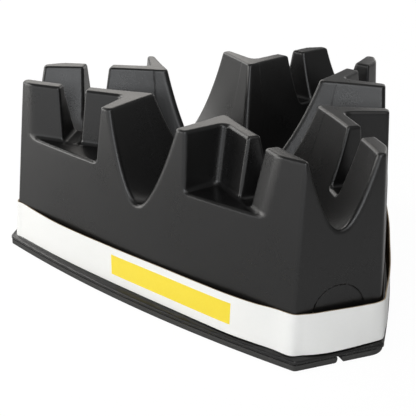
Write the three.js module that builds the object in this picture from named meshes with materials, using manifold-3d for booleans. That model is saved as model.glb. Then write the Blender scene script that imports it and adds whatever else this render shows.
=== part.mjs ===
// Front wheel riser block for a bike trainer: a hollow moulded block with three wheel channels at three
// heights, rubber foot strips under its flange, and a cardboard sleeve that stands on the flange.
// Millimetres, +Z up. The origin is on the ground, under the middle of the block's bounding box.
import * as THREE from "three";
import { mergeVertices } from "three/addons/utils/BufferGeometryUtils.js";
import Module from "manifold-3d";

const wasm = await Module();
wasm.setup();

// Overall form: a triangle with its corners cut off, seen from above, with walls that lean in upwards
const overallHeight = 160;
const sideReach = 124.3; // from the middle to a long side, at the top edge
const cornerReach = 192.3; // from the middle to a cut corner, at the top edge
const sideBow = 7.3; // how far a long side bulges at its middle
const edgeRound = 3.2; // upright edges between long sides and cut corners
const draftShare = 0.077; // outward lean of the outer walls per unit of depth
const wall = 3;
const topChamfer = 2.4;
const upperEdgeRound = 1.2; // second, steeper step of the outer top edge

// Bottom flange, which the sleeve stands on
const flangeSideStep = 3.9; // how far the lip stands out from the foot of the wall, at a long side's ends
const flangeCornerStep = 6.6; // how far it stands out on a cut corner
const flangeBow = 9.6;
const flangeLipHeight = 3.5;
const flangeSlopeHeight = 1.6;
const flangeEdgeRound = 0.8;

// Rubber foot strips
const footHeight = 4.7;
const footWidth = 8;
const footInset = 1.2; // from the flange's lip
const footEdgeRound = 3.2;
const footEndGap = 6; // between the ends of two strips
const seatGap = 0.3; // between pieces that touch

// Wheel channels: each is cut by the outline of a wheel, whose tyre widens the cut upwards
const wheelRadius = 345;
const channelHalfWidth = 57.5; // that the section tends to, far above its floor
const channelWidening = 92.3; // height over which the section widens
const channelFloorRound = 14.1;
const channelFloorHeights = [58.4, 45.1, 63.3]; // above the ground, under the wheel's lowest point
const channelAngles = [90, -30, 30]; // degrees, from the middle of a long side towards a cut corner

// Pockets in the outer walls, one beside each end of each long side
const pocketDepth = 48.2;
const pocketApexReach = 92.6; // from the middle, square to the long side
const pocketApexOffset = 54.8; // along the long side, from its middle
const pocketNearOffset = 45.6; // where the pocket's near wall meets the long side
const pocketFarOffset = 128.5; // where the pocket's far wall meets the long side
const frontLeftFarOffset = 141; // the same, for the longer pocket at the front left
const pocketApexRadius = 7;
const pocketFloorRound = 3;

// Notches across the leg between a pocket and the channel of its corner
const notchReach = 130.6; // of its inner wall, from the middle, along the corner's channel
const notchWidth = 23.9;
const notchHalfSpan = 60; // across the channel

// Webs under the channels
const webThickness = 3;
const webLift = 8; // above the flange's underside

// Round recess on one cut corner
const recessDiameter = 44;
const recessDepth = 0.8;
const recessHeight = 40; // of its middle, above the ground

// Cardboard sleeve
const sleeveThickness = 0.9;
const sleeveHeight = 34;
const sleeveGap = 1.5; // between the sleeve and the upright edges of the block
const sleeveEdgeClearance = 0.4; // that its bends keep there
const sleeveFootBow = 6.6; // along a long side, at the sleeve's lower edge
const sleeveTopBow = 9.4;
const sleeveFootCornerBow = 4.2; // along a cut corner
const sleeveTopCornerBow = 3.4;

// Lengths that cuts run past the surfaces they cut
const overrun = 20;

// Numbers of facets
const bowSteps = 6;
const roundSteps = 4;
const cornerSteps = 3;
const wheelSteps = 96;
const sectionSteps = 8;
const rimSteps = 24;
const recessSteps = 40;

const sideCount = 3;
const turn = THREE.MathUtils.degToRad(360 / sideCount);
const firstSideAngle = THREE.MathUtils.degToRad(-90);
const halfTurn = turn / 2;

const flangeUnderside = footHeight + seatGap;
const flangeLipTop = flangeUnderside + flangeLipHeight;
const wallFoot = flangeLipTop + flangeSlopeHeight;
const flangeSide = sideReach + draftAt(wallFoot) + flangeSideStep;
const flangeCorner = cornerReach + draftAt(wallFoot) + flangeCornerStep;

// The middle of a round lies a quarter of its length in from the sharp edge, so the sleeve's bends
// are as long as the room in front of the block's upright edges lets them be
const edgeSetback = (edgeRound / 4) * Math.cos(halfTurn / 2);
const sleeveBend = (4 * (sleeveGap + edgeSetback - sleeveEdgeClearance)) / Math.cos(halfTurn / 2);

// Turns a closed geometry into a solid
function solidOf(geometry) {
  const bare = geometry.clone();
  bare.deleteAttribute("normal");
  bare.deleteAttribute("uv");
  const merged = mergeVertices(bare);
  return new wasm.Manifold(
    new wasm.Mesh({
      numProp: 3,
      vertProperties: new Float32Array(merged.attributes.position.array),
      triVerts: new Uint32Array(merged.index.array),
    }),
  );
}

function geometryOf(solid) {
  const mesh = solid.getMesh();
  const geometry = new THREE.BufferGeometry();
  geometry.setAttribute("position", new THREE.BufferAttribute(mesh.vertProperties, mesh.numProp));
  geometry.setIndex(new THREE.BufferAttribute(mesh.triVerts, 1));
  const faceted = geometry.toNonIndexed();
  faceted.computeVertexNormals();
  return faceted;
}

// A closed solid through rings of points, from the lowest ring to the highest
function loft(rings) {
  const count = rings[0].points.length;
  const positions = [];
  for (const ring of rings) {
    for (const point of ring.points) positions.push(point.x, point.y, ring.z);
  }
  const index = [];
  for (let level = 0; level + 1 < rings.length; level++) {
    for (let i = 0; i < count; i++) {
      const low = level * count + i;
      const lowNext = level * count + ((i + 1) % count);
      index.push(low, lowNext, lowNext + count, low, lowNext + count, low + count);
    }
  }
  const lastRing = (rings.length - 1) * count;
  for (const [a, b, c] of THREE.ShapeUtils.triangulateShape(rings[0].points, [])) index.push(a, c, b);
  for (const [a, b, c] of THREE.ShapeUtils.triangulateShape(rings.at(-1).points, [])) {
    index.push(lastRing + a, lastRing + b, lastRing + c);
  }
  const geometry = new THREE.BufferGeometry();
  geometry.setAttribute("position", new THREE.Float32BufferAttribute(positions, 3));
  geometry.setIndex(index);
  return solidOf(geometry);
}

// A point in plan at a distance along one direction and another square to it
function planPoint(angle, along, across) {
  return new THREE.Vector2(along, across).rotateAround(new THREE.Vector2(), angle);
}

// Where a long side meets a cut corner: the point's place along the side
function sideEnd(side, corner) {
  return (corner - side * Math.cos(halfTurn)) / Math.sin(halfTurn);
}

// Half the width of a cut corner
function cornerEnd(side, corner) {
  return (side - corner * Math.cos(halfTurn)) / Math.sin(halfTurn);
}

// One third of the outline: half a cut corner, a bowed long side, half the next cut corner
function sidePath(side, corner, bow, sideRound, cornerRound, endGap) {
  const start = planPoint(firstSideAngle - halfTurn, corner, endGap / 2);
  const end = planPoint(firstSideAngle + halfTurn, corner, -endGap / 2);
  const reach = sideEnd(side, corner);
  const firstEdge = planPoint(firstSideAngle, side, -reach);
  const lastEdge = planPoint(firstSideAngle, side, reach);
  const faceEnd = cornerEnd(side, corner);
  const onCorner = Math.min(cornerRound, faceEnd / 2);
  const onSide = Math.min(sideRound, reach / 2);
  const path = new THREE.Path();
  path.moveTo(start.x, start.y);
  const beforeFirst = planPoint(firstSideAngle - halfTurn, corner, faceEnd - onCorner);
  const afterLast = planPoint(firstSideAngle + halfTurn, corner, onCorner - faceEnd);
  const afterFirst = planPoint(firstSideAngle, side, onSide - reach);
  const beforeLast = planPoint(firstSideAngle, side, reach - onSide);
  const crown = planPoint(firstSideAngle, side + bow + bow, 0);
  path.lineTo(beforeFirst.x, beforeFirst.y);
  path.quadraticCurveTo(firstEdge.x, firstEdge.y, afterFirst.x, afterFirst.y);
  const points = path.getPoints(roundSteps);
  const sideCurve = new THREE.QuadraticBezierCurve(afterFirst, crown, beforeLast);
  points.push(...sideCurve.getPoints(bowSteps).slice(1));
  const roundCurve = new THREE.QuadraticBezierCurve(beforeLast, lastEdge, afterLast);
  points.push(...roundCurve.getPoints(roundSteps).slice(1), end);
  return points;
}

// The whole outline in plan, counter-clockwise
function outline(side, corner, bow, sideRound, cornerRound) {
  const third = sidePath(side, corner, bow, sideRound, cornerRound, 0).slice(0, -1);
  const points = [];
  for (let i = 0; i < sideCount; i++) {
    points.push(...third.map((p) => p.clone().rotateAround(new THREE.Vector2(), i * turn)));
  }
  return points;
}

function wallOutline(reach) {
  return outline(sideReach + reach, cornerReach + reach, sideBow, edgeRound, edgeRound);
}

function flangeOutline(inset) {
  return outline(flangeSide - inset, flangeCorner - inset, flangeBow, edgeRound, edgeRound);
}

// How far the drafted wall stands out at a height
function draftAt(height) {
  return draftShare * (overallHeight - height);
}

// The block without its cuts
function outerForm() {
  const chamferFoot = overallHeight - topChamfer;
  const chamferKnee = overallHeight - topChamfer / 2 + upperEdgeRound / 2;
  return loft([
    { z: flangeUnderside, points: flangeOutline(flangeEdgeRound) },
    { z: flangeUnderside + flangeEdgeRound, points: flangeOutline(0) },
    { z: flangeLipTop - flangeEdgeRound, points: flangeOutline(0) },
    { z: flangeLipTop, points: flangeOutline(flangeEdgeRound) },
    { z: wallFoot, points: wallOutline(draftAt(wallFoot)) },
    { z: chamferFoot, points: wallOutline(draftAt(chamferFoot)) },
    { z: chamferKnee, points: wallOutline(-upperEdgeRound / 2) },
    { z: overallHeight, points: wallOutline(-topChamfer) },
  ]);
}

// The hollow that the outer walls and the roof leave, before the cuts take from it
function innerForm() {
  const roof = overallHeight - wall;
  const foot = flangeUnderside - overrun;
  return loft([
    { z: foot, points: wallOutline(draftAt(foot) - wall) },
    { z: roof, points: wallOutline(draftAt(roof) - wall) },
  ]);
}

// Half the width of a channel at a depth below the wheel's outline
function halfWidthAt(depth) {
  const eased = Math.sqrt(depth * (depth + 2 * channelFloorRound));
  return channelHalfWidth * (1 - Math.exp(-eased / channelWidening));
}

function axleHeight(channel) {
  return channelFloorHeights[channel] + wheelRadius;
}

// A wheel-shaped solid that cuts one channel, thicker all round by a margin
function wheelCutter(channel, margin) {
  const reach = overallHeight - channelFloorHeights[channel] + overrun;
  const half = [];
  for (let i = 1; i <= sectionSteps; i++) {
    const depth = reach * (i / sectionSteps) ** 2;
    const nudge = depth / sectionSteps;
    const slope = (halfWidthAt(depth + nudge) - halfWidthAt(depth - nudge)) / (nudge + nudge);
    const scale = margin / Math.hypot(slope, 1);
    half.push(new THREE.Vector2(wheelRadius - depth + slope * scale, halfWidthAt(depth) + scale));
  }
  const hub = new THREE.Vector2(0, half.at(-1).y);
  const lower = [...half, hub].reverse().map((p) => new THREE.Vector2(p.x, -p.y));
  const profile = [...lower, new THREE.Vector2(wheelRadius + margin, 0), ...half, hub];
  const wheel = new THREE.LatheGeometry(profile, wheelSteps);
  wheel.rotateZ(THREE.MathUtils.degToRad(channelAngles[channel]));
  wheel.translate(0, 0, axleHeight(channel));
  return solidOf(wheel);
}

// Chamfers the top edges of one channel: a flared trough that follows their line in plan
function rimCutter(channel) {
  const angle = THREE.MathUtils.degToRad(channelAngles[channel]);
  const reach = flangeCorner + overrun;
  const chamferFoot = overallHeight - topChamfer;
  const rise = axleHeight(channel) - chamferFoot;
  const lengths = [];
  for (let i = 0; i <= rimSteps; i++) lengths.push(reach * ((2 * i) / rimSteps - 1));
  const widths = lengths.map((s) => halfWidthAt(Math.max(wheelRadius - Math.hypot(s, rise), 0)));
  const trough = (height) => {
    const flare = height - chamferFoot;
    const near = lengths.map((s, i) => planPoint(angle, s, -Math.max(widths[i] + flare, 0)));
    const far = lengths.map((s, i) => planPoint(angle, s, Math.max(widths[i] + flare, 0)));
    return [...near, ...far.reverse()];
  };
  return loft([
    { z: chamferFoot - topChamfer, points: trough(chamferFoot - topChamfer) },
    { z: overallHeight + overrun, points: trough(overallHeight + overrun) },
  ]);
}

// Moves each edge of a convex counter-clockwise outline outwards
function grow(points, distance) {
  const count = points.length;
  const moved = points.map((p, i) => {
    const q = points[(i + 1) % count];
    const normal = new THREE.Vector2(q.y - p.y, p.x - q.x).normalize();
    return { normal, reach: normal.dot(p) + distance };
  });
  return points.map((_, i) => {
    const a = moved[(i + count - 1) % count];
    const b = moved[i];
    const cross = a.normal.cross(b.normal);
    return new THREE.Vector2(
      (a.reach * b.normal.y - b.reach * a.normal.y) / cross,
      (b.reach * a.normal.x - a.reach * b.normal.x) / cross,
    );
  });
}

// Rings of a cut that narrows downwards, with a round at its floor and a chamfer at its mouth
function cutRings(plan, floorHeight, margin) {
  const chamferFoot = overallHeight - topChamfer;
  const floor = floorHeight - margin;
  const at = (height, extra) => plan(margin + extra - draftAt(height));
  return [
    { z: floor, points: at(floor, -pocketFloorRound) },
    { z: floor + pocketFloorRound, points: at(floor + pocketFloorRound, 0) },
    { z: chamferFoot, points: at(chamferFoot, 0) },
    ...(margin > 0
      ? [{ z: overallHeight + overrun, points: at(chamferFoot, 0) }]
      : [{ z: overallHeight + overrun, points: at(chamferFoot, topChamfer + overrun) }]),
  ];
}

// A three-sided pocket cut inwards from a long side; hand is 1 or -1
function pocketCutter(side, hand, margin) {
  const angle = firstSideAngle + side * turn;
  const apex = new THREE.Vector2(pocketApexReach, pocketApexOffset);
  const bulge = sideReach + sideBow * (1 - (pocketNearOffset / sideEnd(sideReach, cornerReach)) ** 2);
  const near = new THREE.Vector2(bulge, pocketNearOffset);
  const isFrontLeft = side === 0 && hand < 0;
  const far = new THREE.Vector2(sideReach, isFrontLeft ? frontLeftFarOffset : pocketFarOffset);
  const beyond = flangeSide + flangeBow + overrun;
  const stretch = (from, to) => from.clone().lerp(to, (beyond - from.x) / (to.x - from.x));
  const corners = [stretch(apex, far), apex, stretch(apex, near)].map((p) => new THREE.Vector2(p.x, hand * p.y));
  const triangle = hand > 0 ? corners : corners.reverse();
  const plan = (distance) => {
    const [from, middle, to] = grow(triangle, distance);
    const into = middle.clone().lerp(from, pocketApexRadius / middle.distanceTo(from));
    const out = middle.clone().lerp(to, pocketApexRadius / middle.distanceTo(to));
    const round = new THREE.QuadraticBezierCurve(into, middle, out).getPoints(roundSteps);
    return [from, ...round, to].map((p) => planPoint(angle, p.x, p.y));
  };
  return loft(cutRings(plan, overallHeight - pocketDepth, margin));
}

// A notch across both legs beside one corner's channel
function notchCutter(corner, margin) {
  const angle = firstSideAngle + halfTurn + corner * turn;
  const box = [
    new THREE.Vector2(notchReach, -notchHalfSpan),
    new THREE.Vector2(notchReach + notchWidth, -notchHalfSpan),
    new THREE.Vector2(notchReach + notchWidth, notchHalfSpan),
    new THREE.Vector2(notchReach, notchHalfSpan),
  ];
  const plan = (distance) => grow(box, distance).map((p) => planPoint(angle, p.x, p.y));
  return loft(cutRings(plan, overallHeight - pocketDepth, margin));
}

// All that is cut from the top and the sides; a margin above zero leaves that much wall inside
function cutAll(solid, margin) {
  let cut = solid;
  for (let i = 0; i < sideCount; i++) {
    cut = cut.subtract(wheelCutter(i, margin));
    cut = cut.subtract(notchCutter(i, margin));
    for (const hand of [-1, 1]) cut = cut.subtract(pocketCutter(i, hand, margin));
    if (margin === 0) cut = cut.subtract(rimCutter(i));
  }
  return cut;
}

// Upright webs under the channels, which carry the wheel
function webs() {
  let joined = null;
  for (const degrees of channelAngles) {
    const height = overallHeight - flangeUnderside - webLift;
    const web = new THREE.BoxGeometry(2 * flangeCorner, webThickness, height);
    web.rotateZ(THREE.MathUtils.degToRad(degrees));
    web.translate(0, 0, flangeUnderside + webLift + height / 2);
    joined = joined ? joined.add(solidOf(web)) : solidOf(web);
  }
  return joined;
}

// A shallow round recess in the front right cut corner, square to its leaning wall
function recessCutter() {
  const disc = new THREE.CylinderGeometry(recessDiameter / 2, recessDiameter / 2, overrun, recessSteps);
  disc.rotateZ(-Math.PI / 2);
  disc.translate(overrun / 2 - recessDepth, 0, 0);
  disc.rotateY(-Math.atan(draftShare));
  disc.translate(cornerReach + draftAt(recessHeight), 0, recessHeight);
  disc.rotateZ(firstSideAngle + halfTurn);
  return solidOf(disc);
}

function blockBody() {
  const outer = cutAll(outerForm(), 0);
  const hollow = cutAll(innerForm(), wall);
  return outer.subtract(hollow).add(webs().intersect(outer)).subtract(recessCutter());
}

// One rubber strip, along a long side and round both of its corners
function footStrip(side) {
  const path = (inset) =>
    sidePath(flangeSide - inset, flangeCorner - inset, flangeBow, footEdgeRound, footEdgeRound, footEndGap);
  const shape = new THREE.Shape([...path(footInset), ...path(footInset + footWidth).reverse()]);
  const strip = new THREE.ExtrudeGeometry(shape, { depth: footHeight, bevelEnabled: false });
  strip.rotateZ(side * turn);
  return strip;
}

// Points of a curve between two of its shares
function curvePoints(curve, from, to, steps) {
  const points = [];
  for (let i = 0; i <= steps; i++) points.push(curve.getPoint(from + ((to - from) * i) / steps));
  return points;
}

// The sleeve's outline: it bulges along every face and bends at the block's upright edges
function sleeveOutline(side, corner, bow, cornerBow) {
  const reach = sideEnd(side, corner);
  const faceEnd = cornerEnd(side, corner);
  const firstEdge = planPoint(firstSideAngle, side, -reach);
  const lastEdge = planPoint(firstSideAngle, side, reach);
  const nextEdge = planPoint(firstSideAngle + halfTurn, corner, faceEnd);
  const sideCrown = planPoint(firstSideAngle, side + bow + bow, 0);
  const cornerCrown = planPoint(firstSideAngle + halfTurn, corner + cornerBow + cornerBow, 0);
  const sideCurve = new THREE.QuadraticBezierCurve(firstEdge, sideCrown, lastEdge);
  const cornerCurve = new THREE.QuadraticBezierCurve(lastEdge, cornerCrown, nextEdge);
  const onSide = sleeveBend / (reach + reach);
  const onCorner = sleeveBend / (faceEnd + faceEnd);
  const bendAt = (from, edge, to) => new THREE.QuadraticBezierCurve(from, edge, to).getPoints(roundSteps);
  const nextStart = sideCurve.getPoint(onSide).rotateAround(new THREE.Vector2(), turn);
  const third = [
    ...curvePoints(sideCurve, onSide, 1 - onSide, bowSteps),
    ...bendAt(sideCurve.getPoint(1 - onSide), lastEdge, cornerCurve.getPoint(onCorner)).slice(1),
    ...curvePoints(cornerCurve, onCorner, 1 - onCorner, cornerSteps).slice(1),
    ...bendAt(cornerCurve.getPoint(1 - onCorner), nextEdge, nextStart).slice(1, -1),
  ];
  const points = [];
  for (let i = 0; i < sideCount; i++) {
    points.push(...third.map((p) => p.clone().rotateAround(new THREE.Vector2(), i * turn)));
  }
  return points;
}

// The band of board, standing on the flange and leaning in a little upwards, as the walls do
function cardboardSleeve() {
  const foot = wallFoot + seatGap;
  const top = foot + sleeveHeight;
  const ring = (height, inset) => {
    const share = (height - foot) / sleeveHeight;
    const reach = draftAt(height) + sleeveGap + sleeveThickness - inset;
    const bow = THREE.MathUtils.lerp(sleeveFootBow, sleeveTopBow, share);
    const cornerBow = THREE.MathUtils.lerp(sleeveFootCornerBow, sleeveTopCornerBow, share);
    return sleeveOutline(sideReach + reach, cornerReach + reach, bow, cornerBow);
  };
  const outside = loft([
    { z: foot, points: ring(foot, 0) },
    { z: top, points: ring(top, 0) },
  ]);
  const inside = loft([
    { z: foot - overrun, points: ring(foot - overrun, sleeveThickness) },
    { z: top + overrun, points: ring(top + overrun, sleeveThickness) },
  ]);
  return outside.subtract(inside);
}

function matte(color, roughness) {
  return new THREE.MeshStandardMaterial({ color, roughness, metalness: 0 });
}

const riserBlock = new THREE.Group();
// the channels cross in front of the middle of the bounding box
const crossingShift = (flangeCorner - flangeSide - flangeBow) / 2;
riserBlock.position.set(0, -crossingShift, 0);

function place(name, geometry, material) {
  const mesh = new THREE.Mesh(geometry, material);
  mesh.name = name;
  riserBlock.add(mesh);
}

const plastic = matte(0x3b3b3a, 0.62);
const rubber = matte(0x2b2b2b, 0.85);
const board = matte(0xf3f3ef, 0.6);
place("block_body", geometryOf(blockBody()), plastic);
["foot_strip_front", "foot_strip_right", "foot_strip_left"].forEach((name, side) => {
  place(name, footStrip(side), rubber);
});
place("cardboard_sleeve", geometryOf(cardboardSleeve()), board);

export default riserBlock;
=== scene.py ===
import math
import bpy
import numpy as np
from mathutils import Matrix, Vector


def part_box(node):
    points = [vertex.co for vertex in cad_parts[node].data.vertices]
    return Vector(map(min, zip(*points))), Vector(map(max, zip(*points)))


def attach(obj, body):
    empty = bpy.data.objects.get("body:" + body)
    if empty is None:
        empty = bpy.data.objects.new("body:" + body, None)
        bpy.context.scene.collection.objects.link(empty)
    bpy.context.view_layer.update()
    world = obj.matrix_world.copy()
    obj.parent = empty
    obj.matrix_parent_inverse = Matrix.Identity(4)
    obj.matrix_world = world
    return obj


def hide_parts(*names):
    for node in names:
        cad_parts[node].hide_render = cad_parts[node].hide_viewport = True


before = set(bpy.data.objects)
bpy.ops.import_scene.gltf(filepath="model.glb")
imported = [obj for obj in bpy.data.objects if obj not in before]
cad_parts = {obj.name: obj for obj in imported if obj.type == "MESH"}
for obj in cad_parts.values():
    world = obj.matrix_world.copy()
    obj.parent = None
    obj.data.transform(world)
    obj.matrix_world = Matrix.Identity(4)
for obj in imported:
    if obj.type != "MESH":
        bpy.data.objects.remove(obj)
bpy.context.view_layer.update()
print("frame loaded:", sorted(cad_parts))

# Moulded riser block for a bicycle's front wheel, with rubber foot strips and a board sleeve.
# Metres, +Z up. The three channels cross a little in front of the middle of the object's box, and
# plan places are measured from there.

sideAngles = [-90, 30, 150]    # degrees, the way each long side faces, the front first
cornerAngles = [-30, 90, 210]  # the same for the cut corners
turnSine = math.sin(math.radians(60))   # neighbouring faces turn by 60 degrees
crossingShift = 0.03055        # of the crossing, in front of the middle of the object's box
millimetre = 0.001
tiny = 1e-12                   # keeps a division from failing

view = {
    "eye": (0.43305, -0.596743, 0.364638),   # from the crossing
    "azimuth": 127.926,        # degrees, the way it looks
    "lookDown": 23.807,
    "roll": 1.849,
    "lens": 72.75,
    "sensor": 36,
}


def makeCamera():
    azimuth, down, roll = (math.radians(view[k]) for k in ("azimuth", "lookDown", "roll"))
    ahead = Vector((math.cos(azimuth) * math.cos(down), math.sin(azimuth) * math.cos(down), -math.sin(down)))
    right = ahead.cross(Vector((0, 0, 1))).normalized()
    up = right.cross(ahead)
    rolledRight = right * math.cos(roll) + up * math.sin(roll)
    rolledUp = up * math.cos(roll) - right * math.sin(roll)
    cam = bpy.data.cameras.new("camera")
    cam.lens = view["lens"]
    cam.sensor_width = view["sensor"]
    obj = bpy.data.objects.new("camera", cam)
    turn = Matrix((rolledRight, rolledUp, -ahead)).transposed()
    obj.matrix_world = Matrix.Translation(Vector(view["eye"]) - Vector((0, crossingShift, 0))) @ turn.to_4x4()
    bpy.context.scene.collection.objects.link(obj)
    bpy.context.scene.camera = obj


makeCamera()


# The moulding as a field: negative inside, zero on its skin

# A place as seen along a direction: how far out, and how far across
def turned(x, y, degrees):
    c, s = math.cos(math.radians(degrees)), math.sin(math.radians(degrees))
    return x * c + y * s, y * c - x * s


# What is in both of two fields, with a round where their skins meet
def roundedMax(a, b, radius):
    rounded = np.hypot(np.maximum(a + radius, 0), np.maximum(b + radius, 0))
    return np.minimum(np.maximum(a, b), -radius) + rounded


def roundedMin(a, b, radius):
    return -roundedMax(-a, -b, radius)


block = {
    "height": 0.160,
    "sideReach": 0.1243,       # from the crossing to a long side, at the top
    "cornerReach": 0.1923,     # from the crossing to a cut corner, at the top
    "sideBow": 0.0073,         # bulge of a long side
    "bowStop": 0.0032,         # how far before its ends the bulge stops
    "edgeRound": 0.0021,       # upright edges
    "draft": 0.077,            # lean of the outer walls
    "wall": 0.003,
    "topRound": 0.0018,        # rim of the top faces
    "channelRound": 0.0048,    # edges that the channels leave
    "cutRound": 0.0025,        # edges that the pockets leave
    "ridgeRound": 0.0058,      # edges between two crossing channels
    "gridStep": 0.0014,        # finest detail that the mesh is built with
    "quickStep": 0.0016,
    "keptShare": 0.42,         # of the mesh's faces, after flat places are thinned
}


# Half the length of a long side and of a cut corner, between upright edges
def faceEnds(side, corner):
    return (corner - side / 2) / turnSine, (side - corner / 2) / turnSine


def planField(x, y, side, corner, bow, radius):
    span = faceEnds(side, corner)[0] - block["bowStop"]
    field = None
    for degrees in sideAngles:
        out, along = turned(x, y, degrees)
        gap = out - side - bow * np.maximum(1 - (along / span) ** 2, 0)
        field = gap if field is None else roundedMax(field, gap, radius)
    for degrees in cornerAngles:
        out, along = turned(x, y, degrees)
        field = roundedMax(field, out - corner, radius)
    return field


def draftAt(z):
    return block["draft"] * (block["height"] - z)


channels = {
    "wheelRadius": 0.345,
    "halfWidth": 0.0575,       # that the section tends to as it gets deep
    "widestShare": 0.97,       # of the half width, where the section stops
    "widening": 0.0923,
    "floorRound": 0.0170,
    "floorHeights": [0.0616, 0.0464, 0.0640],
    "sideShift": [0, -0.0014, 0],   # of a channel's middle, across it
    "angles": [90, -30, 30],   # degrees, the way each channel runs
}


def channelField(x, y, z, index):
    along, across = turned(x, y, channels["angles"][index])
    widest = channels["widestShare"] * channels["halfWidth"]
    across = np.minimum(np.abs(across - channels["sideShift"][index]), widest)
    eased = -channels["widening"] * np.log(1 - across / channels["halfWidth"])
    depth = np.hypot(channels["floorRound"], eased) - channels["floorRound"]
    slope = eased / (depth + channels["floorRound"]) * channels["widening"] / (channels["halfWidth"] - across)
    radial = np.hypot(along, channels["floorHeights"][index] + channels["wheelRadius"] - z)
    return (radial - channels["wheelRadius"] + depth) / np.sqrt(1 + slope**2)


pockets = {
    "depth": 0.0482,
    "apexReach": 0.0926,       # of the pocket's inner corner, out from the crossing
    "apexOffset": 0.0548,      # the same, along the long side
    "nearOffset": 0.0456,      # where the near wall meets the long side
    "farOffset": 0.1285,       # where the far wall does
    "frontLeftFar": 0.1385,    # the same for the longer pocket at the front left
    "frontRightFar": 0.1242,
    "farDraft": 0.115,         # lean of the far walls
    "frontRightDraft": 0.15,
    "apexRound": 0.0069,
    "floorRound": 0.0036,
    "notchReach": 0.1306,      # of the notches across the cut corners
    "notchWidth": 0.0239,
    "notchSpan": 0.060,
}


def pocketField(x, y, z, degrees, hand):
    out, along = turned(x, y, degrees)
    along = along * hand
    far, farDraft = pockets["farOffset"], pockets["farDraft"]
    if degrees == sideAngles[0] and hand < 0:
        far = pockets["frontLeftFar"]
    elif degrees == sideAngles[0]:
        far, farDraft = pockets["frontRightFar"], pockets["frontRightDraft"]
    span = faceEnds(block["sideReach"], block["cornerReach"])[0]
    nearReach = block["sideReach"] + block["sideBow"] * (1 - (pockets["nearOffset"] / span) ** 2)
    nearOut, nearAlong = nearReach - pockets["apexReach"], pockets["nearOffset"] - pockets["apexOffset"]
    farOut, farAlong = block["sideReach"] - pockets["apexReach"], far - pockets["apexOffset"]
    fromApexOut, fromApexAlong = out - pockets["apexReach"], along - pockets["apexOffset"]
    nearWall = (fromApexOut * nearAlong - fromApexAlong * nearOut) / math.hypot(nearOut, nearAlong)
    farWall = (fromApexAlong * farOut - fromApexOut * farAlong) / math.hypot(farOut, farAlong)
    farLean = farDraft * (block["height"] - z)
    walls = roundedMax(nearWall + draftAt(z), farWall + farLean, pockets["apexRound"])
    return roundedMax(walls, block["height"] - pockets["depth"] - z, pockets["floorRound"])


def notchField(x, y, z, degrees):
    along, across = turned(x, y, degrees)
    middle = pockets["notchReach"] + pockets["notchWidth"] / 2
    sides = np.abs(along - middle) - pockets["notchWidth"] / 2 + draftAt(z)
    walls = roundedMax(sides, np.abs(across) - pockets["notchSpan"] + draftAt(z), pockets["floorRound"])
    return roundedMax(walls, block["height"] - pockets["depth"] - z, pockets["floorRound"])


# The round recess low on the front right corner
recess = {
    "diameter": 0.044,
    "depth": 0.0009,
    "height": 0.040,           # of its middle
    "softness": 0.0011,        # of its edge
    "reach": 0.17,             # it is cut only farther out than this
    "fade": 0.01,              # the distance over which that sets in
}


def recessDent(x, y, z):
    out, along = turned(x, y, cornerAngles[0])
    edge = recess["diameter"] / 2 - np.hypot(along, z - recess["height"])
    share = np.clip(edge / recess["softness"] + 0.5, 0, 1)
    onFace = np.clip((out - recess["reach"]) / recess["fade"], 0, 1)
    return recess["depth"] * share * share * (3 - 2 * share) * onFace


def skinField(x, y, z):
    spread = draftAt(z)
    solid = planField(x, y, block["sideReach"] + spread, block["cornerReach"] + spread, block["sideBow"],
                      block["edgeRound"])
    solid = solid + recessDent(x, y, z)
    cuts = None
    for index in range(3):
        channel = -channelField(x, y, z, index)
        cuts = channel if cuts is None else roundedMax(cuts, channel, block["ridgeRound"])
    solid = roundedMax(solid, cuts, block["channelRound"])
    solid = roundedMax(solid, z - block["height"], block["topRound"])
    for degrees in sideAngles:
        for hand in (-1, 1):
            solid = roundedMax(solid, -pocketField(x, y, z, degrees, hand), block["cutRound"])
    for degrees in cornerAngles:
        solid = roundedMax(solid, -notchField(x, y, z, degrees), block["cutRound"])
    return solid


flange = {
    "underside": 0.005,        # above the ground
    "sideStep": 0.0031,        # lip, beyond the foot of a long side's ends
    "cornerStep": 0.0066,      # lip, beyond the foot of a cut corner
    "bow": 0.0104,
    "edgeRound": 0.0013,
    "lipHeight": 0.0035,
    "slopeHeight": 0.0016,
    "lipRound": 0.0005,
    "footRound": 0.0012,       # where the walls stand on the flange
}

lipTop = flange["underside"] + flange["lipHeight"]
wallFoot = lipTop + flange["slopeHeight"]
wallSpread = block["draft"] * (block["height"] - wallFoot)
flangeSide = block["sideReach"] + wallSpread + flange["sideStep"]
flangeCorner = block["cornerReach"] + wallSpread + flange["cornerStep"]

webs = {                       # under each channel, inside the hollow
    "thickness": 0.003,
    "lift": 0.008,             # above the flange's underside
    "round": 0.0008,
}


def mouldedField(x, y, z):
    skin = skinField(x, y, z)
    lip = planField(x, y, flangeSide, flangeCorner, flange["bow"], flange["edgeRound"])
    rise, run = flange["slopeHeight"], flange["cornerStep"] - flange["lipRound"]
    slope = ((lip + flange["lipRound"]) * rise + (z - lipTop) * run) / math.hypot(rise, run)
    foot = roundedMax(roundedMax(lip, slope, flange["lipRound"]), flange["underside"] - z, flange["lipRound"])
    body = roundedMin(skin, foot, flange["footRound"])
    body = roundedMax(body, flange["underside"] - z, flange["lipRound"] / 2)
    body = roundedMax(body, -(skin + block["wall"]), block["wall"] / 8)
    # a web under each channel, sunk into the wall by two thirds of it
    for degrees in channels["angles"]:
        along, across = turned(x, y, degrees)
        web = np.maximum(np.abs(across) - webs["thickness"] / 2, skin + block["wall"] / 3)
        web = np.maximum(web, flange["underside"] + webs["lift"] - z)
        body = roundedMin(body, web, webs["round"])
    return body


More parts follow.
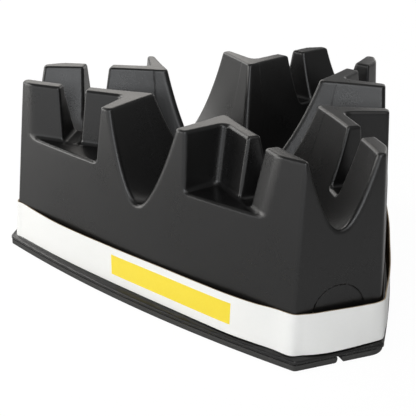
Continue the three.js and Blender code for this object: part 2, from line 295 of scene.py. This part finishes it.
# A mesh of quads on the field's zero level, one point in each grid cell that the skin passes.
# The grid reaches two cells past the box.
def netMesh(field, low, high, step):
    axes = [np.arange(low[k] - 2 * step, high[k] + 3 * step, step) for k in range(3)]
    gridX, gridY = np.meshgrid(axes[0], axes[1], indexing="ij")
    values = np.stack([field(gridX, gridY, z) for z in axes[2]]).astype(np.float32)   # z first
    inside = values < 0
    count = np.zeros([n - 1 for n in values.shape], np.uint8)
    corners = [(a, b, c) for a in (0, 1) for b in (0, 1) for c in (0, 1)]
    for a, b, c in corners:
        count += inside[a:a + count.shape[0], b:b + count.shape[1], c:c + count.shape[2]]
    active = (count > 0) & (count < 8)
    cells = np.argwhere(active)
    index = np.full(active.shape, -1, np.int32)
    index[active] = np.arange(len(cells))
    at = {k: values[tuple((cells + k).T)] for k in corners}
    total, hits = np.zeros((len(cells), 3)), np.zeros(len(cells))
    for first in corners:
        for axis in range(3):
            if first[axis]:
                continue
            second = tuple(v + (k == axis) for k, v in enumerate(first))
            crossed = (at[first] < 0) != (at[second] < 0)
            share = at[first][crossed] / (at[first][crossed] - at[second][crossed])
            point = np.tile(np.array(first, float), (crossed.sum(), 1))
            point[:, axis] = share
            total[crossed] += point
            hits[crossed] += 1
    local = cells + total / hits[:, None]
    points = np.stack([axes[0][0] + local[:, 1] * step, axes[1][0] + local[:, 2] * step,
                       axes[2][0] + local[:, 0] * step], 1)
    faces = []
    for axis in range(3):
        lower = np.take(inside, range(inside.shape[axis] - 1), axis)
        upper = np.take(inside, range(1, inside.shape[axis]), axis)
        edges = np.argwhere(lower != upper)
        second, third = (axis + 1) % 3, (axis + 2) % 3
        ring = []
        for back2, back3 in ((1, 1), (0, 1), (0, 0), (1, 0)):
            cell = edges.copy()
            cell[:, second] -= back2
            cell[:, third] -= back3
            ring.append(index[tuple(cell.T)])
        quads = np.stack(ring, 1)
        outward = lower[tuple(edges.T)]
        quads[~outward] = quads[~outward][:, ::-1]
        faces.append(quads)
    return points, np.concatenate(faces)


def slopeOf(field, points, nudge):
    x, y, z = points.T
    parts = [field(x + nudge, y, z) - field(x - nudge, y, z),
             field(x, y + nudge, z) - field(x, y - nudge, z),
             field(x, y, z + nudge) - field(x, y, z - nudge)]
    return np.stack(parts, 1) / (2 * nudge)


settling = {                   # how points are moved onto the skin
    "rounds": 3,
    "nudges": 40,              # in a grid step, where a slope is measured
    "normalNudges": 3,         # the same for the shading, which is smoother for being coarse
    "leastSlope": 0.2,
    "longestMove": 0.4,        # share of a grid step
}


def settle(field, points, step):
    for _ in range(settling["rounds"]):
        value = field(*points.T)
        slope = slopeOf(field, points, step / settling["nudges"])
        move = slope * (value / np.maximum((slope**2).sum(1), settling["leastSlope"]))[:, None]
        length = np.linalg.norm(move, axis=1, keepdims=True)
        points = points - move * np.minimum(1, settling["longestMove"] * step / np.maximum(length, tiny))
    return points


def meshOf(name, points, faces):
    mesh = bpy.data.meshes.new(name)
    mesh.from_pydata(np.asarray(points, float).tolist(), [], faces)
    return mesh


def addObject(name, mesh):
    obj = bpy.data.objects.new(name, mesh)
    bpy.context.scene.collection.objects.link(obj)
    return obj


def shadeSmooth(mesh, sharpFrom=None):
    mesh.polygons.foreach_set("use_smooth", [True] * len(mesh.polygons))
    if sharpFrom:
        mesh.set_sharp_from_angle(angle=math.radians(sharpFrom))


# The net is thinned where it is flat, and its points are set on the field once more
def makeBlock():
    step = block["gridStep"]
    low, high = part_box("block_body")
    shift = np.array([0, -crossingShift, 0])
    points, faces = netMesh(mouldedField, np.array(low) - shift, np.array(high) - shift, step)
    points = settle(mouldedField, points, step)
    rough = addObject("rough_block", meshOf("rough_block", points, faces.tolist()))
    rough.data.validate()
    thin = rough.modifiers.new("thin", "DECIMATE")
    thin.ratio = block["keptShare"]
    graph = bpy.context.evaluated_depsgraph_get()
    mesh = bpy.data.meshes.new_from_object(rough.evaluated_get(graph))
    bpy.data.objects.remove(rough)
    mesh.name = "moulded_block"
    points = np.empty(len(mesh.vertices) * 3, np.float32)
    mesh.vertices.foreach_get("co", points)
    points = settle(mouldedField, points.reshape(-1, 3).astype(float), step)
    normals = slopeOf(mouldedField, points, step / settling["normalNudges"])
    normals /= np.maximum(np.linalg.norm(normals, axis=1, keepdims=True), tiny)
    mesh.vertices.foreach_set("co", (points + shift).astype(np.float32).ravel())
    shadeSmooth(mesh)
    mesh.update()
    mesh.normals_split_custom_set_from_vertices(normals.tolist())
    print("moulded block:", len(mesh.vertices), "points,", len(mesh.polygons), "faces")
    return addObject("moulded_block", mesh)


# Outlines in plan, for the strips and the sleeve

# A curve from start to end that heads for bend first
def curveBetween(start, bend, end, steps):
    t = np.linspace(0, 1, steps + 1)[:, None]
    return start * (1 - t) ** 2 + bend * 2 * t * (1 - t) + end * t**2


# A place in plan: out towards a face, and along it
def spot(degrees, out, along):
    a = math.radians(degrees)
    return np.array([out * math.cos(a) - along * math.sin(a), out * math.sin(a) + along * math.cos(a)])


# Faces between closed sections of a bar, each a column of points
def barFaces(columns, rows):
    faces = []
    for i in range(columns - 1):
        for j in range(rows):
            k = (j + 1) % rows
            faces.append((i * rows + j, (i + 1) * rows + j, (i + 1) * rows + k, i * rows + k))
    return faces


strips = {
    "height": 0.0047,
    "width": 0.008,
    "inset": 0.0001,           # from the flange's lip
    "bends": [(0.003, 0.003), (0.011, 0.003), (0.003, 0.003)],   # round a strip's two corners
    "endGap": 0.004,           # between the ends of two strips
    "profileRound": 0.0003,
    "endRound": 0.0026,        # of a strip's end, seen from the side
    "endSections": 7,          # that the round is made of
    "endPinch": 0.2,           # how much flatter the end's top stays than its foot
    "bendSteps": 14,
    "straightPoints": 5,
    "sharpFrom": 50,           # degrees
}


# One strip's line along a long side, from the middle of one cut corner to the middle of the next
def stripLine(inset, sideIndex):
    side, corner = flangeSide - inset, flangeCorner - inset
    steps, straight = strips["bendSteps"], strips["straightPoints"]
    sideEnd, cornerEnd = faceEnds(side, corner)
    firstBend, lastBend = strips["bends"][sideIndex]
    middle, before, after = sideAngles[sideIndex], sideAngles[sideIndex] - 60, sideAngles[sideIndex] + 60
    start, end = spot(before, corner, strips["endGap"] / 2), spot(after, corner, -strips["endGap"] / 2)
    bendFrom, bendTo = spot(before, corner, cornerEnd - firstBend), spot(middle, side, firstBend - sideEnd)
    backFrom, backTo = spot(middle, side, sideEnd - lastBend), spot(after, corner, lastBend - cornerEnd)
    runs = [
        np.linspace(start, bendFrom, straight),
        curveBetween(bendFrom, spot(middle, side, -sideEnd), bendTo, steps),
        curveBetween(bendTo, spot(middle, side + 2 * flange["bow"], 0), backFrom, 3 * steps),
        curveBetween(backFrom, spot(middle, side, sideEnd), backTo, steps),
        np.linspace(backTo, end, straight),
    ]
    return np.concatenate([runs[0]] + [run[1:] for run in runs[1:]])


# A strip's section with round edges: how far in and how high each of its points is
def stripSection():
    radius, width, height = strips["profileRound"], strips["width"], strips["height"]
    section = []
    for centreIn, centreUp, fromAngle in ((width - radius, radius, 270), (width - radius, height - radius, 0),
                                          (radius, height - radius, 90), (radius, radius, 180)):
        for turnBy in (0, 30, 60, 90):
            a = math.radians(fromAngle + turnBy)
            section.append((centreIn + radius * math.cos(a), centreUp + radius * math.sin(a)))
    return section


# More places near both ends of a line, for the round there
def withEndSections(line, shares):
    first = line[0] + (line[1] - line[0]) * shares[:, None]
    last = line[-1] + (line[-2] - line[-1]) * shares[::-1, None]
    return np.concatenate([first, line[1:-1], last])


def makeStrip(name, sideIndex):
    width, height, endRound = strips["width"], strips["height"], strips["endRound"]
    ring = stripSection()
    outer = stripLine(strips["inset"], sideIndex)
    inner = stripLine(strips["inset"] + width, sideIndex)
    near = np.linspace(0, endRound, strips["endSections"])
    shares = near / np.linalg.norm(outer[1] - outer[0])
    outer, inner = withEndSections(outer, shares), withEndSections(inner, shares)
    fromEnd = np.full(len(outer), endRound)
    fromEnd[:len(near)] = near
    fromEnd[-len(near):] = near[::-1]
    raised = endRound - np.sqrt(np.maximum(endRound**2 - (endRound - fromEnd) ** 2, 0))
    points = []
    for a, b, lift in zip(outer, inner, raised):
        for inward, up in ring:
            share = inward / width
            across = a * (1 - share) + b * share
            pinched = lift * (1 - strips["endPinch"] * up / height)
            points.append((across[0], across[1] - crossingShift, max(up, pinched)))
    rows, columns = len(ring), len(outer)
    faces = [f[::-1] for f in barFaces(columns, rows)]
    faces.append(tuple(range(rows)))
    faces.append(tuple((columns - 1) * rows + j for j in reversed(range(rows))))
    mesh = meshOf(name, points, faces)
    shadeSmooth(mesh, strips["sharpFrom"])
    return addObject(name, mesh)


sleeve = {
    "thickness": 0.0009,
    "height": 0.034,
    "seat": 0.0003,            # above the foot of the wall
    # how far its outside stands off the block, for each face from the front counter-clockwise: the
    # place as a share of half the face (1 is the upright edge), at its foot, at its top edge, in mm
    "slack": [
        [(-0.95, 0.4, 0.5), (-0.86, 0.4, 2.0), (-0.76, 0.7, 3.5), (-0.62, 1.0, 4.7), (-0.45, 1.0, 4.5),
         (-0.2, 0.7, 3.9), (0.05, 0.6, 3.4), (0.29, 0.9, 3.9), (0.48, 1.8, 4.3), (0.66, 2.6, 4.9),
         (0.8, 1.6, 4.0), (0.9, 0.6, 1.6), (1, 0.4, 0.5)],
        [(-0.79, 2.2, 2.8), (-0.6, 4.0, 4.0), (-0.25, 5.6, 4.6), (0.27, 5.0, 5.2), (0.6, 4.0, 5.0),
         (0.8, 3.4, 4.8), (1, 2.0, 2.4)],
        [(-0.93, 3.2, 3.3), (-0.83, 4.2, 4.1), (-0.7, 4.4, 4.8), (-0.4, 3.6, 5.0), (0, 2.6, 4.7),
         (0.4, 1.9, 4.0), (0.8, 1.5, 2.4), (0.955, 1.4, 1.4), (1, 0.5, 0.5)],
        [(-0.7, 2.4, 2.2), (-0.25, 4.0, 3.1), (0.25, 4.0, 3.1), (0.7, 2.4, 2.2), (1, 0.5, 0.5)],
        [(-0.955, 1.4, 1.4), (-0.8, 1.5, 2.0), (-0.4, 2.0, 2.9), (0, 2.4, 3.2), (0.4, 2.2, 2.8),
         (0.8, 1.6, 1.9), (0.955, 1.4, 1.4), (1, 0.5, 0.5)],
        [(-0.7, 1.8, 1.9), (-0.25, 2.5, 2.4), (0.25, 2.3, 2.2), (0.7, 1.6, 1.6), (1, 0.5, 0.5)],
    ],
    "curveSteps": 6,           # from one of these places to the next
    "lapLength": 0.024,        # glued overlap, on the long side at the back left
    "lapPlace": 0.012,         # its place along that side
    "lapGap": 0.0002,          # for the glue
    "lapStart": 1.7,           # where the band begins to rise over its start, in lap lengths
    "lapRise": 0.6,            # how long that takes, the same
    "frontShare": 0.9,         # of the way out to the front, past which a place is on the front
    "panelFrom": -0.0226,      # the yellow panel's ends along the front
    "panelTo": 0.1038,
    "panelRise": 0.0085,       # of its lower edge, above the sleeve's
    "panelHeight": 0.0187,
    "ripple": 0.00022,         # unevenness of the bent board
    "rippleWaves": [(41, 1, 0), (83, 0.6, 1)],   # how close, how high, how far on
    "sharpFrom": 50,           # degrees
}


def blend(u, a, b, fromKnot, toKnot):
    return (a * (toKnot - u) + b * (u - fromKnot)) / (toKnot - fromKnot)


# A smooth closed line through points
def closedLine(points, steps):
    line, count = [], len(points)
    for i in range(count):
        p = [points[(i + k) % count] for k in (-1, 0, 1, 2)]
        t = np.concatenate([[0], np.cumsum([math.sqrt(np.linalg.norm(b - a)) for a, b in zip(p, p[1:])])])
        u = np.linspace(t[1], t[2], steps, endpoint=False)[:, None]
        first, second, third = (blend(u, p[k], p[k + 1], t[k], t[k + 1]) for k in range(3))
        before, after = blend(u, first, second, t[0], t[2]), blend(u, second, third, t[1], t[3])
        line.append(blend(u, before, after, t[1], t[2]))
    return np.concatenate(line)


# The sleeve's outside in plan, at a height above its own foot
def sleeveLine(rise):
    share = rise / sleeve["height"]
    spread = draftAt(wallFoot + sleeve["seat"] + rise)
    side, corner = block["sideReach"] + spread, block["cornerReach"] + spread
    ends = faceEnds(side, corner)
    points = []
    for face, rows in enumerate(sleeve["slack"]):
        degrees = sideAngles[0] + 60 * face
        for place, atFoot, atTop in rows:
            slack = (atFoot * (1 - share) + atTop * share) * millimetre
            out, along = (side, corner)[face % 2], place * ends[face % 2]
            bulge = 0
            if face % 2 == 0:
                bulge = block["sideBow"] * max(1 - (along / (ends[0] - block["bowStop"])) ** 2, 0)
            if place == 1:
                points.append(spot(degrees, out, along) + spot(degrees + 30, slack, 0))
            else:
                points.append(spot(degrees, out + bulge + slack, along))
    return closedLine(points, sleeve["curveSteps"])


def outwardOf(line):
    ahead = np.roll(line, -1, 0) - np.roll(line, 1, 0)
    outward = np.stack([ahead[:, 1], -ahead[:, 0]], 1)
    return outward / np.linalg.norm(outward, axis=1, keepdims=True)


def makeSleeve():
    foot = wallFoot + sleeve["seat"]
    lap, panelRise, panelHeight = sleeve["lapLength"], sleeve["panelRise"], sleeve["panelHeight"]
    rises = [0, panelRise, panelRise + panelHeight / 2, panelRise + panelHeight, sleeve["height"]]
    base = sleeveLine(0)
    # the band starts on the side at the back left and laps over its own start
    out, along = turned(base[:, 0], base[:, 1], sideAngles[2])
    start = int(np.argmin(np.where(out > 0, np.abs(along - sleeve["lapPlace"]), 1)))
    step = np.linalg.norm(np.roll(base, -1, 0) - base, axis=1)
    lapCount = int(math.ceil(lap / step[start]))
    order = [(start + i) % len(base) for i in range(len(base) + lapCount + 1)]
    span = np.concatenate([[0], np.cumsum(step[order[:-1]])])
    share = np.clip((sleeve["lapStart"] * lap - (span[-1] - span)) / (sleeve["lapRise"] * lap), 0, 1)
    lift = (sleeve["thickness"] + sleeve["lapGap"]) * share * share * (3 - 2 * share)
    # one column stands exactly at each end of the panel, on the front
    front = [i for i, k in enumerate(order) if -base[k][1] > sleeve["frontShare"] * block["sideReach"]]
    ends = (sleeve["panelFrom"], sleeve["panelTo"])
    panelColumns = [min(front, key=lambda i: abs(base[order[i]][0] - x)) for x in ends]
    waves = sum(high * np.sin(span * close + onward) for close, high, onward in sleeve["rippleWaves"])
    ripple = sleeve["ripple"] * waves
    layers = [(rise, 0.0) for rise in rises] + [(rise, sleeve["thickness"]) for rise in reversed(rises)]
    points, rows = [], len(layers)
    lines = [sleeveLine(rise) for rise, _ in layers]
    normals = [outwardOf(line) for line in lines]
    for i, k in enumerate(order):
        for (rise, inward), line, outward in zip(layers, lines, normals):
            p = line[k]
            if i in panelColumns:
                other = line[(k + 1) % len(line)]
                p = p + (other - p) * (ends[panelColumns.index(i)] - p[0]) / (other[0] - p[0])
            p = p + outward[k] * (lift[i] - inward + ripple[i] * rise / sleeve["height"])
            points.append((p[0], p[1] - crossingShift, foot + rise))
    columns = len(order)
    faces = barFaces(columns, rows)
    faces.append(tuple(reversed(range(rows))))
    faces.append(tuple((columns - 1) * rows + j for j in range(rows)))
    mesh = meshOf("board_sleeve", points, faces)
    shadeSmooth(mesh, sleeve["sharpFrom"])
    # material slots: 0 white, 1 yellow, 2 the brown inside, 3 the cut edges
    half = len(rises)
    slots = []
    for i in range(columns - 1):
        for j in range(rows):
            if j < half - 1:
                onPanel = panelColumns[0] <= i < panelColumns[1] and j in (1, 2)
                slots.append(1 if onPanel else 0)
            else:
                slots.append(3 if j in (half - 1, rows - 1) else 2)
    mesh.polygons.foreach_set("material_index", slots + [3, 3])
    return addObject("board_sleeve", mesh)


# Effects that several materials share, as node groups

def newGroup(name, inputs, outputs):
    group = bpy.data.node_groups.new(name, "ShaderNodeTree")
    for label, kind, value in inputs:
        group.interface.new_socket(name=label, in_out="INPUT", socket_type=kind).default_value = value
    for label, kind in outputs:
        group.interface.new_socket(name=label, in_out="OUTPUT", socket_type=kind)
    return group, group.nodes.new("NodeGroupInput"), group.nodes.new("NodeGroupOutput")


def addNode(tree, kind, **settings):
    node = tree.nodes.new(kind)
    for key, value in settings.items():
        if key in node.inputs.keys():
            node.inputs[key].default_value = value
        else:
            setattr(node, key, value)
    return node


# Fine moulded or pressed grain, and a gloss that changes with it and in wider patches
def makeGrainGroup():
    group, given, out = newGroup(
        "mouldGrain",
        [("Cell Size", "NodeSocketFloat", 0.0006), ("Base Roughness", "NodeSocketFloat", 0.5),
         ("Roughness Spread", "NodeSocketFloat", 0.1)],
        [("Height", "NodeSocketFloat"), ("Roughness", "NodeSocketFloat")])
    link = group.links.new
    place = addNode(group, "ShaderNodeTexCoord")
    scale = addNode(group, "ShaderNodeMath", operation="DIVIDE")
    scale.inputs[0].default_value = 1
    link(given.outputs["Cell Size"], scale.inputs[1])
    pits = addNode(group, "ShaderNodeTexNoise", Detail=3.0, Roughness=0.6)
    link(place.outputs["Object"], pits.inputs["Vector"])
    link(scale.outputs[0], pits.inputs["Scale"])
    link(pits.outputs["Fac"], out.inputs["Height"])
    cloud = addNode(group, "ShaderNodeTexNoise", Scale=22.0, Detail=3.0, Roughness=0.55)
    link(place.outputs["Object"], cloud.inputs["Vector"])
    both = addNode(group, "ShaderNodeMath", operation="ADD")
    link(cloud.outputs["Fac"], both.inputs[0])
    link(pits.outputs["Fac"], both.inputs[1])
    middle = addNode(group, "ShaderNodeMath", operation="SUBTRACT")
    link(both.outputs[0], middle.inputs[0])
    middle.inputs[1].default_value = 1.0
    spread = addNode(group, "ShaderNodeMath", operation="MULTIPLY_ADD")
    link(middle.outputs[0], spread.inputs[0])
    link(given.outputs["Roughness Spread"], spread.inputs[1])
    link(given.outputs["Base Roughness"], spread.inputs[2])
    link(spread.outputs[0], out.inputs["Roughness"])
    return group


# Two close colours, mixed in wide patches and in small flecks
def makeToneGroup():
    group, given, out = newGroup(
        "patchyTone",
        [("Color", "NodeSocketColor", (0.5, 0.5, 0.5, 1)),
         ("Second Color", "NodeSocketColor", (0.6, 0.6, 0.6, 1)),
         ("Patch Scale", "NodeSocketFloat", 12.0), ("Fleck Scale", "NodeSocketFloat", 300.0),
         ("Fleck Share", "NodeSocketFloat", 0.3)],
        [("Color", "NodeSocketColor")])
    link = group.links.new
    place = addNode(group, "ShaderNodeTexCoord")
    patch = addNode(group, "ShaderNodeTexNoise", Detail=4.0, Roughness=0.5)
    fleck = addNode(group, "ShaderNodeTexNoise", Detail=2.0, Roughness=0.7)
    for node, label in ((patch, "Patch Scale"), (fleck, "Fleck Scale")):
        link(place.outputs["Object"], node.inputs["Vector"])
        link(given.outputs[label], node.inputs["Scale"])
    blend = addNode(group, "ShaderNodeMix", data_type="FLOAT")
    link(given.outputs["Fleck Share"], blend.inputs["Factor"])
    link(patch.outputs["Fac"], blend.inputs[2])
    link(fleck.outputs["Fac"], blend.inputs[3])
    spread = addNode(group, "ShaderNodeMapRange")
    spread.inputs["From Min"].default_value = 0.32    # the noise seldom leaves these values
    spread.inputs["From Max"].default_value = 0.68
    link(blend.outputs[0], spread.inputs["Value"])
    mixed = addNode(group, "ShaderNodeMix", data_type="RGBA")
    link(spread.outputs["Result"], mixed.inputs["Factor"])
    link(given.outputs["Color"], mixed.inputs[6])
    link(given.outputs["Second Color"], mixed.inputs[7])
    link(mixed.outputs[2], out.inputs["Color"])
    return group


groups = {"grain": makeGrainGroup(), "tone": makeToneGroup()}


finishes = {
    "plastic": {
        "name": "charcoal_plastic",
        "tone": {"Color": (0.0042, 0.0041, 0.0041, 1), "Second Color": (0.0062, 0.0061, 0.0061, 1),
                 "Patch Scale": 9.0, "Fleck Scale": 700.0, "Fleck Share": 0.35},
        "grain": {"Cell Size": 0.0013, "Base Roughness": 0.3, "Roughness Spread": 0.12},
        "bump": {"Strength": 0.32, "Distance": 0.0003},
        "specular": 0.57,
    },
    "rubber": {
        "name": "strip_rubber",
        "tone": {"Color": (0.036, 0.0355, 0.034, 1), "Second Color": (0.05, 0.049, 0.047, 1),
                 "Patch Scale": 30.0, "Fleck Scale": 900.0, "Fleck Share": 0.5},
        "grain": {"Cell Size": 0.0006, "Base Roughness": 0.72, "Roughness Spread": 0.1},
        "bump": {"Strength": 0.3, "Distance": 0.0002},
        "specular": 0.4,
    },
    "white": {
        "name": "coated_board",
        "tone": {"Color": (0.90, 0.90, 0.875, 1), "Second Color": (0.93, 0.93, 0.91, 1),
                 "Patch Scale": 14.0, "Fleck Scale": 420.0, "Fleck Share": 0.4},
        "grain": {"Cell Size": 0.0016, "Base Roughness": 0.42, "Roughness Spread": 0.1},
        "bump": {"Strength": 0.12, "Distance": 0.0001},
        "specular": 0.4,
    },
    "yellow": {
        "name": "printed_yellow",
        "tone": {"Color": (0.95, 0.74, 0.045, 1), "Second Color": (0.98, 0.78, 0.06, 1),
                 "Patch Scale": 20.0, "Fleck Scale": 600.0, "Fleck Share": 0.5},
        "grain": {"Cell Size": 0.0016, "Base Roughness": 0.4, "Roughness Spread": 0.1},
        "bump": {"Strength": 0.12, "Distance": 0.0001},
        "specular": 0.4,
    },
    "kraft": {
        "name": "brown_board",
        "tone": {"Color": (0.48, 0.32, 0.18, 1), "Second Color": (0.58, 0.41, 0.25, 1),
                 "Patch Scale": 25.0, "Fleck Scale": 900.0, "Fleck Share": 0.6},
        "grain": {"Cell Size": 0.0008, "Base Roughness": 0.85, "Roughness Spread": 0.1},
        "bump": {"Strength": 0.4, "Distance": 0.0002},
        "specular": 0.25,
    },
    "edge": {
        "name": "board_edge",
        "tone": {"Color": (0.42, 0.32, 0.21, 1), "Second Color": (0.55, 0.44, 0.31, 1),
                 "Patch Scale": 60.0, "Fleck Scale": 1200.0, "Fleck Share": 0.6},
        "grain": {"Cell Size": 0.0005, "Base Roughness": 0.9, "Roughness Spread": 0.08},
        "bump": {"Strength": 0.5, "Distance": 0.0002},
        "specular": 0.2,
    },
}


def makeMaterial(finish):
    material = bpy.data.materials.new(finish["name"])
    material.use_nodes = True
    tree = material.node_tree
    shader = tree.nodes["Principled BSDF"]
    shader.inputs["Specular IOR Level"].default_value = finish["specular"]
    tone = addNode(tree, "ShaderNodeGroup", node_tree=groups["tone"])
    grain = addNode(tree, "ShaderNodeGroup", node_tree=groups["grain"])
    for node, values in ((tone, finish["tone"]), (grain, finish["grain"])):
        for key, value in values.items():
            node.inputs[key].default_value = value
    bump = addNode(tree, "ShaderNodeBump", **finish["bump"])
    tree.links.new(tone.outputs["Color"], shader.inputs["Base Color"])
    tree.links.new(grain.outputs["Roughness"], shader.inputs["Roughness"])
    tree.links.new(grain.outputs["Height"], bump.inputs["Height"])
    tree.links.new(bump.outputs["Normal"], shader.inputs["Normal"])
    return material


materials = {key: makeMaterial(finish) for key, finish in finishes.items()}
print("materials made")

mouldedBlock = makeBlock()
mouldedBlock.data.materials.append(materials["plastic"])
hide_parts("block_body")
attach(mouldedBlock, "block")

for sideIndex, place in enumerate(("front", "right", "left")):
    strip = makeStrip("rubber_strip_" + place, sideIndex)
    strip.data.materials.append(materials["rubber"])
    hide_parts("foot_strip_" + place)
    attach(strip, "block")
print("foot strips made")

boardSleeve = makeSleeve()
for key in ("white", "yellow", "kraft", "edge"):
    boardSleeve.data.materials.append(materials[key])
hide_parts("cardboard_sleeve")
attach(boardSleeve, "sleeve")
print("sleeve made")


# Floor, world and lamps

studio = {
    "floorSize": 8.0,
    "floorColor": (0.8, 0.8, 0.8, 1),
    "floorRoughness": 0.9,
    "floorSpecular": 0.1,
    "floorGlow": 0.92,         # how far the camera sees the floor as plain white
    "glowStrength": 1.04,      # of that white
    "skyStrength": 0.23,
    "lampDistance": 2.2,
    "lamps": [                 # name, azimuth, elevation, size, power, colour
        ("low_softbox", -140, 8, 1.2, 23.0, (1.0, 0.985, 0.96)),
        ("left_softbox", -180, 26, 1.4, 18.5, (1.0, 0.985, 0.96)),
        ("right_softbox", -60, 30, 1.2, 12.5, (0.955, 0.975, 1.0)),
        ("low_right_strip", -60, 8, 1.2, 5.2, (0.955, 0.975, 1.0)),
        ("front_fill", -100, 8, 1.2, 5.6, (0.98, 0.99, 1.0)),
        ("top_softbox", -25, 60, 1.3, 5.5, (1.0, 0.985, 0.965)),
        ("back_panel", 140, 26, 1.2, 6.1, (1.0, 0.965, 0.92)),
        ("rim_strip", 98, 7, 1.2, 5.0, (1.0, 0.98, 0.95)),
    ],
}


def makeFloor():
    half = studio["floorSize"] / 2
    corners = [(-half, -half, 0), (half, -half, 0), (half, half, 0), (-half, half, 0)]
    floor = addObject("floor", meshOf("floor", corners, [(0, 1, 2, 3)]))
    material = bpy.data.materials.new("floor")
    material.use_nodes = True
    tree = material.node_tree
    shader = tree.nodes["Principled BSDF"]
    shader.inputs["Base Color"].default_value = studio["floorColor"]
    shader.inputs["Roughness"].default_value = studio["floorRoughness"]
    shader.inputs["Specular IOR Level"].default_value = studio["floorSpecular"]
    glow = addNode(tree, "ShaderNodeEmission", Color=(1, 1, 1, 1), Strength=studio["glowStrength"])
    rays = addNode(tree, "ShaderNodeLightPath")
    amount = addNode(tree, "ShaderNodeMath", operation="MULTIPLY")
    tree.links.new(rays.outputs["Is Camera Ray"], amount.inputs[0])
    amount.inputs[1].default_value = studio["floorGlow"]
    mix = addNode(tree, "ShaderNodeMixShader")
    tree.links.new(amount.outputs[0], mix.inputs["Fac"])
    tree.links.new(shader.outputs[0], mix.inputs[1])
    tree.links.new(glow.outputs[0], mix.inputs[2])
    tree.links.new(mix.outputs[0], tree.nodes["Material Output"].inputs["Surface"])
    floor.data.materials.append(material)


def makeWorld():
    world = bpy.data.worlds.new("studio")
    bpy.context.scene.world = world
    world.use_nodes = True
    tree = world.node_tree
    sky = tree.nodes["Background"]
    sky.inputs["Color"].default_value = (1, 1, 1, 1)
    sky.inputs["Strength"].default_value = studio["skyStrength"]
    plain = addNode(tree, "ShaderNodeBackground", Color=(1, 1, 1, 1), Strength=1.0)
    rays = addNode(tree, "ShaderNodeLightPath")
    mix = addNode(tree, "ShaderNodeMixShader")
    tree.links.new(rays.outputs["Is Camera Ray"], mix.inputs["Fac"])
    tree.links.new(sky.outputs[0], mix.inputs[1])
    tree.links.new(plain.outputs[0], mix.inputs[2])
    tree.links.new(mix.outputs[0], tree.nodes["World Output"].inputs["Surface"])


def addLamp(name, azimuth, elevation, size, power, color):
    lamp = bpy.data.lights.new(name, "AREA")
    lamp.size = size
    lamp.energy = power
    lamp.color = color
    obj = bpy.data.objects.new(name, lamp)
    a, e = math.radians(azimuth), math.radians(elevation)
    away = Vector((math.cos(a) * math.cos(e), math.sin(a) * math.cos(e), math.sin(e)))
    obj.location = away * studio["lampDistance"]
    obj.rotation_euler = away.to_track_quat("Z", "Y").to_euler()
    bpy.context.scene.collection.objects.link(obj)


makeFloor()
makeWorld()
for lamp in studio["lamps"]:
    addLamp(*lamp)
bpy.context.scene.view_settings.view_transform = "Standard"
print("studio made")
